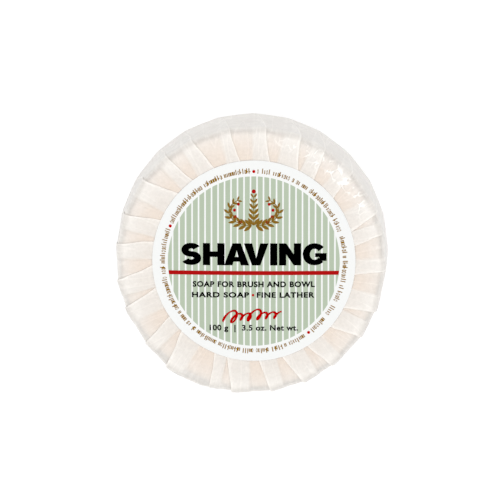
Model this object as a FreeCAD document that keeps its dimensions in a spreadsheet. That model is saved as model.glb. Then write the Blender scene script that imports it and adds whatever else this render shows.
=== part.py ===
"""A round puck of pressed shaving soap in its pleated film wrapper, closed by two paper labels.

The puck lies on its back label. The origin is at the centre of that label's outer face, +Z runs up
through the puck and out of the front label, and +Y is the way up of the printing. Millimetres.

The front of the soap is a shallow dome, and every layer on it is a shell about the same centre.
The wrapper is one sheet of film. It lies flat under the soap, stands up round the rim and comes
inwards over the front. Its spare width is laid over in knife pleats that start at the foot of the
wall and grow towards the middle, until they lie on each other under the front label.
"""
import FreeCAD, Part
import math
import os
import Sketcher

DIMENSIONS = {
    # alias: (value, what it is)
    "soap_radius": (34.8, "radius of the soap"),
    "soap_rim_height": (23.6, "height of the soap's side wall, edge to edge"),
    "soap_edge": (2.0, "radius of the soap's two rounded edges"),
    "dome_rise": (2.2, "how far the front of the soap rises from its edge to its middle"),
    "film": (0.1, "thickness of the film as modelled"),
    "slack": (0.05, "air between the soap's dome and the film on it"),
    "wall_gap": (0.8, "air between the soap's side and the film wall"),
    "wrap_edge": (1.4, "outer radius of the film's two bends"),
    "wrap_mouth": (12.0, "radius of the opening that the pleats leave in the middle"),
    "pleat_count": (24, "number of knife pleats"),
    "pleat_lift": (0.35, "how far the folded layers stand out from the film"),
    "pleat_foot": (1.6, "height at which the pleats start"),
    "pleat_foot_angle": (0.4, "angle that a pleat covers at its foot, in degrees"),
    "pleat_rim_angle": (5.3, "angle that a pleat covers at the front rim, in degrees"),
    "pleat_inner_angle": (14.0, "angle that a pleat covers where it meets the next one, in degrees"),
    "pile_radius": (24.6, "radius inside which the pleats lie on each other everywhere"),
    "bite": (0.05, "how far a fold reaches into the film, so that they are one solid"),
    "glue": (0.05, "thickness of a label's adhesive"),
    "glue_inset": (0.4, "how far the adhesive stops short of its label's edge"),
    "paper": (0.15, "thickness of a label's paper"),
    "front_label_radius": (27.1, "radius of the front label"),
    "front_label_right": (0.75, "how far the front label sits off centre, to the right"),
    "front_label_up": (0.1, "how far the front label sits off centre, upwards"),
    "back_label_radius": (25.0, "radius of the back label"),
    "reach": (40.0, "radius of the tools that trim a layer, past everything"),
    "tool_top": (30.0, "height of the tools that trim a layer, above everything"),
}

# Heights and radii that follow from the driving dimensions, as expressions.
WRAP_FLOOR = "(dims.paper + dims.glue)"
SOAP_FLOOR = f"({WRAP_FLOOR} + dims.film)"
SOAP_SHOULDER = f"({SOAP_FLOOR} + dims.soap_rim_height)"
DOME_RADIUS = "((dims.soap_radius ^ 2 + dims.dome_rise ^ 2) / (2 * dims.dome_rise))"
DOME_DEPTH = f"({DOME_RADIUS} - {SOAP_SHOULDER} - dims.dome_rise)"
WALL_RADIUS = "(dims.soap_radius + dims.wall_gap + dims.film)"
FILM_LIFT = "(dims.slack + dims.film)"
PLEAT_TOP = f"({FILM_LIFT} + dims.pleat_lift)"

DOC = FreeCAD.newDocument("ShavingSoapPuck")


def make_sheet():
    """The driving dimensions: alias in column A, value in B, meaning in C."""
    sheet = DOC.addObject("Spreadsheet::Sheet", "dims")
    for row, (alias, (value, meaning)) in enumerate(DIMENSIONS.items(), start=1):
        sheet.set(f"A{row}", alias)
        sheet.set(f"B{row}", str(value))
        sheet.set(f"C{row}", meaning)
        sheet.setAlias(f"B{row}", alias)
    DOC.recompute()
    return sheet


SHEET = make_sheet()


def number(expression):
    """What an expression in the sheet's aliases comes to."""
    return float(SHEET.evalExpression(str(expression)))


def new_body(name):
    body = DOC.addObject("PartDesign::Body", name)
    body.Label = name
    return body


def new_sketch(body, name, role, lift="0"):
    """A sketch on one of the body's own origin planes, raised along the plane's normal."""
    sketch = body.newObject("Sketcher::SketchObject", name)
    plane = next(f for f in body.Origin.OriginFeatures if f.Role == role)
    sketch.AttachmentSupport = [(plane, "")]
    sketch.MapMode = "FlatFace"
    sketch.setExpression("AttachmentOffset.Base.z", lift)
    DOC.recompute()
    return sketch


def bind(sketch, constraint, expression):
    """Adds a dimension to the sketch and ties it to the sheet."""
    index = sketch.addConstraint(constraint)
    sketch.setExpression(f"Constraints[{index}]", expression)


def pin(sketch, element, end, across, up):
    """Holds one end of an element at a place. A coordinate of None is left free."""
    for kind, place in (("DistanceX", across), ("DistanceY", up)):
        if place is None:
            continue
        value = number(place)
        if abs(value) < 1e-9:
            axis = -2 if kind == "DistanceX" else -1
            sketch.addConstraint(Sketcher.Constraint("PointOnObject", element, end, axis))
        else:
            bind(sketch, Sketcher.Constraint(kind, -1, 1, element, end, value), place)


def dome_point(radius, lift):
    """A point of the shell that lies lift above the soap's dome, as numbers."""
    shell = number(f"{DOME_RADIUS} + {lift}")
    across = number(radius)
    return FreeCAD.Vector(across, math.sqrt(shell**2 - across**2) - number(DOME_DEPTH), 0)


def draw_arc(sketch, inner, outer, lift):
    """An arc of the shell that lies lift above the dome, from one radius to another."""
    start, stop = dome_point(outer, lift), dome_point(inner, lift)
    centre = FreeCAD.Vector(0, -number(DOME_DEPTH), 0)
    shell = number(f"{DOME_RADIUS} + {lift}")
    circle = Part.Circle(centre, FreeCAD.Vector(0, 0, 1), shell)
    angles = [math.atan2(p.y - centre.y, p.x) for p in (start, stop)]
    arc = sketch.addGeometry(Part.ArcOfCircle(circle, *angles), False)
    sketch.addConstraint(Sketcher.Constraint("PointOnObject", arc, 3, -2))
    depth = Sketcher.Constraint("DistanceY", arc, 3, -1, 1, number(DOME_DEPTH))
    bind(sketch, depth, DOME_DEPTH)
    bind(sketch, Sketcher.Constraint("Radius", arc, shell), f"{DOME_RADIUS} + {lift}")
    pin(sketch, arc, 1, outer, None)
    pin(sketch, arc, 2, inner, None)
    return arc


def draw_line(sketch, start, stop):
    return sketch.addGeometry(Part.LineSegment(start, stop), False)


def join(sketch, first, first_end, second, second_end):
    sketch.addConstraint(Sketcher.Constraint("Coincident", first, first_end, second, second_end))


def corner(across, up):
    return FreeCAD.Vector(number(across), number(up), 0)


def draw_dome_section(sketch, inner, outer, low, high):
    """Half the section of a shell on the dome, between two radii and two lifts."""
    top = draw_arc(sketch, inner, outer, high)
    bottom = draw_arc(sketch, inner, outer, low)
    for end, radius in ((1, outer), (2, inner)):
        side = draw_line(sketch, dome_point(radius, low), dome_point(radius, high))
        join(sketch, side, 1, bottom, end)
        join(sketch, side, 2, top, end)


def draw_cup_section(sketch, foot, wall, mouth, lift):
    """The wrapper's outer or inner line: up the wall at one radius and in over the dome.

    Returns the line up the wall, whose start is at the foot, and the arc, whose end is the mouth.
    """
    upright = draw_line(sketch, corner(wall, foot), dome_point(wall, lift))
    dome = draw_arc(sketch, mouth, wall, lift)
    pin(sketch, upright, 1, wall, foot)
    join(sketch, upright, 2, dome, 1)
    return upright, dome


def revolve(body, sketch, name):
    turned = body.newObject("PartDesign::Revolution", name)
    turned.Profile = sketch
    turned.ReferenceAxis = (sketch, ["V_Axis"])
    turned.Angle = 360
    DOC.recompute()
    return turned


def pad(body, sketch, name, length):
    raised = body.newObject("PartDesign::Pad", name)
    raised.Profile = sketch
    raised.setExpression("Length", length)
    DOC.recompute()
    return raised


def fillet(body, base, name, radius, wanted):
    """Rounds the base's edges that wanted(edge) picks."""
    edges = [f"Edge{n}" for n, edge in enumerate(base.Shape.Edges, start=1) if wanted(edge)]
    rounded = body.newObject("PartDesign::Fillet", name)
    rounded.Base = (base, edges)
    rounded.setExpression("Radius", radius)
    DOC.recompute()
    return rounded


def is_ring(edge, radius):
    """Whether an edge is a whole circle about the Z axis of this radius."""
    if edge.Degenerated or not isinstance(edge.Curve, Part.Circle):
        return False
    return edge.isClosed() and abs(edge.Curve.Radius - number(radius)) < 1e-4


def trim_to_disc(body, radius):
    """Cuts a layer to the front label's outline, which sits a little off the puck's centre."""
    sketch = new_sketch(body, "TrimOutline", "XY_Plane", "dims.tool_top")
    for ring in (radius, "dims.reach"):
        circle = Part.Circle(FreeCAD.Vector(0, 0, 0), FreeCAD.Vector(0, 0, 1), number(ring))
        element = sketch.addGeometry(circle, False)
        bind(sketch, Sketcher.Constraint("Radius", element, number(ring)), ring)
        pin(sketch, element, 3, "dims.front_label_right", "dims.front_label_up")
    before = body.Shape.Volume
    cut = body.newObject("PartDesign::Pocket", "Trim")
    cut.Profile = sketch
    cut.Type = "ThroughAll"
    DOC.recompute()
    if not cut.Shape.Volume < before:
        raise RuntimeError(f"{body.Label}: the trim cut nothing")


def make_soap_puck():
    """The pressed tablet: flat back, upright side, shallow domed front, both edges rounded."""
    body = new_body("soap_puck")
    sketch = new_sketch(body, "SoapSection", "XZ_Plane")
    floor = draw_line(sketch, corner("0", SOAP_FLOOR), corner("dims.soap_radius", SOAP_FLOOR))
    pin(sketch, floor, 1, "0", SOAP_FLOOR)
    side, dome = draw_cup_section(sketch, SOAP_FLOOR, "dims.soap_radius", "0", "0")
    join(sketch, floor, 2, side, 1)
    axis = draw_line(sketch, dome_point("0", "0"), corner("0", SOAP_FLOOR))
    join(sketch, axis, 1, dome, 2)
    join(sketch, axis, 2, floor, 1)
    turned = revolve(body, sketch, "Tablet")
    fillet(body, turned, "Edges", "dims.soap_edge", lambda e: is_ring(e, "dims.soap_radius"))
    return body


def make_film_shell():
    """The sheet of film without its folds: back, wall, and the front down to the mouth."""
    body = new_body("film_shell")
    sketch = new_sketch(body, "FilmSection", "XZ_Plane")
    inner_wall = f"({WALL_RADIUS} - dims.film)"
    outside = draw_cup_section(sketch, WRAP_FLOOR, WALL_RADIUS, "dims.wrap_mouth", FILM_LIFT)
    inside = draw_cup_section(sketch, SOAP_FLOOR, inner_wall, "dims.wrap_mouth", "dims.slack")
    floors = []
    for (upright, _), wall, height in (
        (outside, WALL_RADIUS, WRAP_FLOOR),
        (inside, inner_wall, SOAP_FLOOR),
    ):
        floor = draw_line(sketch, corner("0", height), corner(wall, height))
        join(sketch, floor, 2, upright, 1)
        pin(sketch, floor, 1, "0", height)
        floors.append(floor)
    axis = draw_line(sketch, corner("0", WRAP_FLOOR), corner("0", SOAP_FLOOR))
    join(sketch, axis, 1, floors[0], 1)
    join(sketch, axis, 2, floors[1], 1)
    lip = draw_line(
        sketch,
        dome_point("dims.wrap_mouth", "dims.slack"),
        dome_point("dims.wrap_mouth", FILM_LIFT),
    )
    join(sketch, lip, 1, inside[1], 2)
    join(sketch, lip, 2, outside[1], 2)
    turned = revolve(body, sketch, "Film")
    bent = fillet(body, turned, "OuterBends", "dims.wrap_edge", lambda e: is_ring(e, WALL_RADIUS))
    inner_bend = "dims.wrap_edge - dims.film"
    fillet(body, bent, "InnerBends", inner_bend, lambda e: is_ring(e, inner_wall))
    return body


def make_fold_layer():
    """The space that the folded layers take up: a jacket on the wall and the front."""
    body = new_body("fold_layer")
    sketch = new_sketch(body, "FoldSection", "XZ_Plane")
    inner_wall = f"({WALL_RADIUS} - dims.bite)"
    outer_wall = f"({WALL_RADIUS} + dims.pleat_lift)"
    buried = f"({FILM_LIFT} - dims.bite)"
    outside = draw_cup_section(sketch, "dims.pleat_foot", outer_wall, "dims.wrap_mouth", PLEAT_TOP)
    inside = draw_cup_section(sketch, "dims.pleat_foot", inner_wall, "dims.wrap_mouth", buried)
    foot = draw_line(
        sketch, corner(inner_wall, "dims.pleat_foot"), corner(outer_wall, "dims.pleat_foot")
    )
    join(sketch, foot, 1, inside[0], 1)
    join(sketch, foot, 2, outside[0], 1)
    lip = draw_line(
        sketch, dome_point("dims.wrap_mouth", buried), dome_point("dims.wrap_mouth", PLEAT_TOP)
    )
    join(sketch, lip, 1, inside[1], 2)
    join(sketch, lip, 2, outside[1], 2)
    turned = revolve(body, sketch, "Jacket")
    shoulder = number(SOAP_SHOULDER) - number("dims.wrap_edge")

    def at_shoulder(edge, wall):
        return is_ring(edge, wall) and edge.Curve.Center.z > shoulder

    outer_bend = "dims.wrap_edge + dims.pleat_lift"
    bent = fillet(body, turned, "OuterBend", outer_bend, lambda e: at_shoulder(e, outer_wall))
    inner_bend = "dims.wrap_edge - dims.bite"
    fillet(body, bent, "InnerBend", inner_bend, lambda e: at_shoulder(e, inner_wall))
    return body


def draw_blade(sketch, outer_angle, inner_angle):
    """One pleat seen from above. Its hidden fold is the X axis, and its open fold leans."""
    inner, outer = "dims.pile_radius - 1", "dims.reach"
    places = [
        (inner, "0"),
        (outer, "0"),
        (f"({outer}) * cos({outer_angle} * 1 deg)", f"-({outer}) * sin({outer_angle} * 1 deg)"),
        (f"({inner}) * cos({inner_angle} * 1 deg)", f"-({inner}) * sin({inner_angle} * 1 deg)"),
    ]
    points = [corner(*place) for place in places]
    lines = [draw_line(sketch, points[n], points[(n + 1) % 4]) for n in range(4)]
    for n, line in enumerate(lines):
        join(sketch, line, 2, lines[(n + 1) % 4], 1)
        pin(sketch, line, 1, *places[n])


def make_fold_pattern():
    """Where the film is folded: the pleats, and the middle where they lie on each other."""
    body = new_body("fold_pattern")
    middle = new_sketch(body, "PileOutline", "XY_Plane", SOAP_SHOULDER)
    circle = Part.Circle(FreeCAD.Vector(0, 0, 0), FreeCAD.Vector(0, 0, 1), number("dims.pile_radius"))
    element = middle.addGeometry(circle, False)
    bind(middle, Sketcher.Constraint("Radius", element, circle.Radius), "dims.pile_radius")
    middle.addConstraint(Sketcher.Constraint("Coincident", element, 3, -1, 1))
    pad(body, middle, "Pile", f"dims.tool_top - {SOAP_SHOULDER}")
    foot_angle, rim_angle = "dims.pleat_foot_angle", "dims.pleat_rim_angle"
    sections = []
    for name, height, outer_angle, inner_angle in (
        ("FootSection", "dims.pleat_foot - 0.1", foot_angle, foot_angle),
        ("ShoulderSection", SOAP_SHOULDER, rim_angle, "dims.pleat_inner_angle"),
        ("TopSection", "dims.tool_top", rim_angle, "dims.pleat_inner_angle"),
    ):
        sketch = new_sketch(body, name, "XY_Plane", height)
        draw_blade(sketch, outer_angle, inner_angle)
        sections.append(sketch)
    blade = body.newObject("PartDesign::AdditiveLoft", "Blade")
    blade.Profile = sections[0]
    blade.Sections = sections[1:]
    blade.Ruled = True
    DOC.recompute()
    around = body.newObject("PartDesign::PolarPattern", "Blades")
    around.Originals = [blade]
    around.Axis = (middle, ["N_Axis"])
    around.Angle = 360
    around.setExpression("Occurrences", "dims.pleat_count")
    body.Tip = around
    DOC.recompute()
    return body


def make_pleated_wrap():
    """The wrapper as one solid: the plain film, and the folded layers that lie on it."""
    folds = DOC.addObject("Part::Common", "folds")
    folds.Base = make_fold_layer()
    folds.Tool = make_fold_pattern()
    wrap = DOC.addObject("Part::Fuse", "pleated_wrap")
    wrap.Base = make_film_shell()
    wrap.Tool = folds
    wrap.Label = "pleated_wrap"
    DOC.recompute()
    return wrap


def make_front_layer(name, radius, low, high):
    """A layer of the front label: a shell on the pleats, cut to a disc."""
    body = new_body(name)
    sketch = new_sketch(body, "LayerSection", "XZ_Plane")
    draw_dome_section(sketch, "0", "dims.front_label_radius + 2", low, high)
    revolve(body, sketch, "Layer")
    trim_to_disc(body, radius)
    return body


def make_back_layer(name, radius, height, thickness):
    """A layer of the back label: a flat disc."""
    body = new_body(name)
    sketch = new_sketch(body, "LayerOutline", "XY_Plane", height)
    circle = Part.Circle(FreeCAD.Vector(0, 0, 0), FreeCAD.Vector(0, 0, 1), number(radius))
    element = sketch.addGeometry(circle, False)
    bind(sketch, Sketcher.Constraint("Radius", element, circle.Radius), radius)
    sketch.addConstraint(Sketcher.Constraint("Coincident", element, 3, -1, 1))
    pad(body, sketch, "Layer", thickness)
    return body


def make_labels():
    """Both labels, each a disc of paper on a slightly smaller film of adhesive."""
    glue_top = f"({PLEAT_TOP} + dims.glue)"
    paper_top = f"({glue_top} + dims.paper)"
    glued_front = "dims.front_label_radius - dims.glue_inset"
    glued_back = "dims.back_label_radius - dims.glue_inset"
    return [
        make_front_layer("front_label_adhesive", glued_front, PLEAT_TOP, glue_top),
        make_front_layer("front_label", "dims.front_label_radius", glue_top, paper_top),
        make_back_layer("back_label", "dims.back_label_radius", "0", "dims.paper"),
        make_back_layer("back_label_adhesive", glued_back, "dims.paper", "dims.glue"),
    ]


def check_document():
    """A failed recompute raises nothing by itself, so every object's state is read."""
    DOC.recompute()
    for item in DOC.Objects:
        if {"Invalid", "Error"} & set(item.State):
            raise RuntimeError(f"{item.Label} failed: {item.State}")


def export(parts):
    os.makedirs("parts", exist_ok=True)
    for part in parts:
        shape = part.Shape
        if shape.isNull() or not shape.isValid() or not shape.Solids:
            raise RuntimeError(f"{part.Label} has no valid solid")
        shape.exportStep(os.path.join("parts", f"{part.Label}.step"))
        box = shape.BoundBox
        print(
            f"{part.Label}: {len(shape.Solids)} solid, {shape.Volume:.1f} mm3,"
            f" {box.XLength:.2f} x {box.YLength:.2f} x {box.ZLength:.2f} mm,"
            f" z {box.ZMin:.2f} to {box.ZMax:.2f}"
        )


def main():
    parts = [make_soap_puck(), make_pleated_wrap(), *make_labels()]
    check_document()
    export(parts)


main()
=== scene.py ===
import math

import bpy
import bmesh
from mathutils import Matrix, Vector


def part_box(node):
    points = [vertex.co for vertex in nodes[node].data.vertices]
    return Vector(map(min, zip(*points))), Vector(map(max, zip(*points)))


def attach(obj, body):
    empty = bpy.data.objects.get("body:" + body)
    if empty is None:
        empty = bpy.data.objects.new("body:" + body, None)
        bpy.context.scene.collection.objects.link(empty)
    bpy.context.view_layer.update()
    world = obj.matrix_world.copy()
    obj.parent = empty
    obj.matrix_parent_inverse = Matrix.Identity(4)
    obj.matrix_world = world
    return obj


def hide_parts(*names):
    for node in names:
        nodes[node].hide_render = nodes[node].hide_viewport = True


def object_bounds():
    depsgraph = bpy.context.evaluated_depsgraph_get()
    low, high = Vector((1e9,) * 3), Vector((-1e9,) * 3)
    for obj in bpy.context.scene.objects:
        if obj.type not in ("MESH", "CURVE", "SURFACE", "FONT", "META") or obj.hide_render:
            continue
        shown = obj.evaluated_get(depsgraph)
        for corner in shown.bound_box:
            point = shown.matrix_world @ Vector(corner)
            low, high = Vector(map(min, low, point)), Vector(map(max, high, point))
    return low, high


mm = 0.001

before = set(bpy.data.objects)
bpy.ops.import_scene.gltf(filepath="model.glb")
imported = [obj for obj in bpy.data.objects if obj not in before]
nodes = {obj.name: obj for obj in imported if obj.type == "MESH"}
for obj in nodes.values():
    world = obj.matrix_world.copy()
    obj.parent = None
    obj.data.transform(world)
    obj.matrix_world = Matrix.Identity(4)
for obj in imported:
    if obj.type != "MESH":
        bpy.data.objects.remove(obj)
cadLow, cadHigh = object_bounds()
scene = bpy.context.scene


def linearColour(hexText, alpha=1.0):
    # sRGB hex to the linear numbers that shaders take
    channels = [int(hexText[at:at + 2], 16) / 255 for at in (1, 3, 5)]
    linear = [c / 12.92 if c <= 0.04045 else ((c + 0.055) / 1.055) ** 2.4 for c in channels]
    return (*linear, alpha)


def addNode(tree, kind, inputs=None, **settings):
    # one node with its settings, and its inputs set or linked
    node = tree.nodes.new(kind)
    for name, value in settings.items():
        setattr(node, name, value)
    for key, value in (inputs or {}).items():
        if isinstance(value, bpy.types.NodeSocket):
            tree.links.new(value, node.inputs[key])
        else:
            node.inputs[key].default_value = value
    return node


def addFormulas(tree, known, formulas):
    # rows of (result, value, operation, values, operation, values ...), worked from left to right:
    # a value is a number or the name of an earlier result, an operation is a kind of maths or of node
    for result, value, *rest in formulas:
        steps = []
        for item in rest:
            if isinstance(item, str) and (item.isupper() or "Node" in item):
                steps.append([item])
            else:
                steps[-1].append(item)
        for operation, *others in steps:
            inputs = {at: known[v] if isinstance(v, str) else v for at, v in enumerate((value, *others))}
            if "Node" in operation:
                value = addNode(tree, operation, inputs).outputs[0]
            else:
                value = addNode(tree, "ShaderNodeMath", inputs, operation=operation).outputs[0]
        known[result] = value
    return known


def newMaterial(name):
    material = bpy.data.materials.new(name)
    material.use_nodes = True
    material.node_tree.nodes.clear()
    return material, material.node_tree


def endMaterial(tree, inputs):
    # what every material ends in
    shader = addNode(tree, "ShaderNodeBsdfPrincipled", inputs)
    addNode(tree, "ShaderNodeOutputMaterial", {"Surface": shader.outputs[0]})


def newPiece(name, data):
    piece = bpy.data.objects.new(name, data)
    scene.collection.objects.link(piece)
    return piece


def newTree(name, values):
    # a geometry tree with a named input for each value, and its inputs by name
    tree = bpy.data.node_groups.new(name, "GeometryNodeTree")
    tree.interface.new_socket("Geometry", in_out="INPUT", socket_type="NodeSocketGeometry")
    tree.interface.new_socket("Geometry", in_out="OUTPUT", socket_type="NodeSocketGeometry")
    for label, value in values.items():
        kind = {int: "Int", float: "Float"}.get(type(value), "Material")
        socket = tree.interface.new_socket(label, in_out="INPUT", socket_type=f"NodeSocket{kind}")
        socket.default_value = value
    given = tree.nodes.new("NodeGroupInput")
    return tree, {socket.name: socket for socket in given.outputs}


def inputsOf(s, *labels):
    # a tree's values by their input names, from the dictionary of what a user would change
    return {label: s[label[0].lower() + label[1:].replace(" ", "")] for label in labels}


def endTree(tree, geometry, material):
    # what every tree ends in
    real = addNode(tree, "GeometryNodeRealizeInstances", {"Geometry": geometry.outputs[0]})
    coated = addNode(tree, "GeometryNodeSetMaterial", {"Geometry": real.outputs[0], "Material": material})
    addNode(tree, "NodeGroupOutput", {0: coated.outputs[0]})
    return tree


def applyTree(source, tree, values, name):
    # runs the tree on an object and keeps the result as a plain mesh
    modifier = source.modifiers.new(tree.name, "NODES")
    modifier.node_group = tree
    inputs = {i.name: i.identifier for i in tree.interface.items_tree if i.in_out == "INPUT"}
    for label, value in values.items():
        modifier[inputs[label]] = value
    depsgraph = bpy.context.evaluated_depsgraph_get()
    mesh = bpy.data.meshes.new_from_object(source.evaluated_get(depsgraph), depsgraph=depsgraph)
    piece = newPiece(name, mesh)
    bpy.data.objects.remove(source)
    mesh.name = name
    return piece


def dressNode(name, material):
    mesh = nodes[name].data
    mesh.materials.clear()
    mesh.materials.append(material)


# the puck's sizes, read from the frame
soapLow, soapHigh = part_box("soap_puck")
wrapLow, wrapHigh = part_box("pleated_wrap")
labelLow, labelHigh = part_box("front_label")
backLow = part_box("back_label")[0]
soapRadius = (soapHigh.x - soapLow.x) / 2
labelRadius = (labelHigh.x - labelLow.x) / 2
labelCentre = Vector(((labelLow.x + labelHigh.x) / 2, (labelLow.y + labelHigh.y) / 2))
probeRadius = soapRadius * 0.8
probe = nodes["soap_puck"].ray_cast(Vector((probeRadius, 0, wrapHigh.z * 2)), Vector((0, 0, -1)))[1]
drop = soapHigh.z - probe.z
domeRadius = (probeRadius ** 2 + drop ** 2) / (2 * drop)
domeCentre = soapHigh.z - domeRadius  # height of the centre that every front layer shares
labelLift = labelHigh.z - soapHigh.z  # top of the front label above the soap's dome


def domeHeight(radius, lift):
    return domeCentre + math.sqrt((domeRadius + lift) ** 2 - radius ** 2)


print("sizes read", round(domeRadius / mm, 1), "mm dome radius")

cameraSet = {
    "tiltUp": 9.8,         # degrees the view leans towards the top of the label
    "tiltRight": 1.1,      # degrees it leans to the right
    "distance": 2200 * mm,
    "viewWidth": 134.2 * mm,
    "aimRight": 0.1 * mm,  # where it aims, from the middle of the puck's front edge
    "aimUp": 2.35 * mm,
    "sensor": 36.0,
}


def makeCamera(s):
    data = bpy.data.cameras.new("frontCamera")
    camera = newPiece("frontCamera", data)
    leans = [math.tan(math.radians(s[lean])) for lean in ("tiltRight", "tiltUp")]
    back = Vector((*leans, 1)).normalized()
    right = Vector((0, 1, 0)).cross(back).normalized()
    up = back.cross(right)
    frontEdge = Vector((0, 0, domeHeight(soapRadius, 0)))
    place = frontEdge + right * s["aimRight"] + up * s["aimUp"] + back * s["distance"]
    turn = Matrix((right, up, back)).transposed().to_4x4()
    camera.matrix_world = Matrix.Translation(place) @ turn
    data.sensor_width = s["sensor"]
    data.lens = s["sensor"] * s["distance"] / s["viewWidth"]
    data.clip_start, data.clip_end = 0.05, 10
    scene.camera = camera


makeCamera(cameraSet)

# Hard shaving soap, pressed and slightly waxy: cream, and soft light under a satin skin
soapLook = {"cream": "#DCCBBB", "shade": "#D5C4B4", "mottleSize": 6 * mm, "roughness": 0.45,
            "grainSize": 0.5 * mm, "grainHeight": 0.05 * mm}


def makeSoapMaterial(s):
    material, tree = newMaterial("pressedShavingSoap")
    place = addNode(tree, "ShaderNodeTexCoord").outputs["Object"]
    mottle = addNode(tree, "ShaderNodeTexNoise", {
        "Vector": place, "Scale": 1 / s["mottleSize"], "Detail": 4.0,
    })
    colour = addNode(tree, "ShaderNodeMix", {
        0: mottle.outputs["Fac"], 6: linearColour(s["shade"]), 7: linearColour(s["cream"]),
    }, data_type="RGBA").outputs[2]
    grain = addNode(tree, "ShaderNodeTexNoise", {"Vector": place, "Scale": 1 / s["grainSize"], "Detail": 3.0})
    bump = addNode(tree, "ShaderNodeBump", {
        "Height": grain.outputs["Fac"], "Strength": 0.15, "Distance": s["grainHeight"],
    })
    endMaterial(tree, {
        "Base Color": colour, "Roughness": s["roughness"], "IOR": 1.45, "Normal": bump.outputs[0],
    })
    return material


# Frosted polypropylene film, cast matt on one side: white haze that the soap shows through, fainter where
# the film is pressed on the soap and whiter where it stands off, with fibrous mottling and crisp painted
# glints
filmLook = {
    "white": "#FAF6F1", "haze": "#F3EFE9", "roughness": 0.36, "gloss": 0.25, "glossRoughness": 0.14,
    "fleckSize": 0.8 * mm, "mottleSize": 3.2 * mm, "streakWidth": 1.6 * mm, "streakLength": 9 * mm,
    "fleckHaze": 0.13, "streakHaze": 0.03, "creaseDepth": 0.10 * mm,
    "lineWidth": 3.4 * mm, "lineLength": 30 * mm, "lineHaze": 0.06,
    "lineSharpness": 45.0, "streakHeight": 0.02 * mm, "fleckHeight": 0.015 * mm,
    # paintedGlint is the white of the painted highlights on the crumpled patch, and the glint sizes shape
    # them
    "paintedGlint": "#FFFFFF", "paintedGlintStrength": 0.8, "glintSize": 2.4 * mm, "glintWidth": 0.10,
    "glintWarp": 2.6 * mm,
    "patchFrom": 0.46, "patchSharpness": 8.0,      # where glints gather
    "facetFrom": 0.76, "facetSharpness": 3.0,      # how few of the facets shine
    "mostSolid": 0.97,
}


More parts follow.
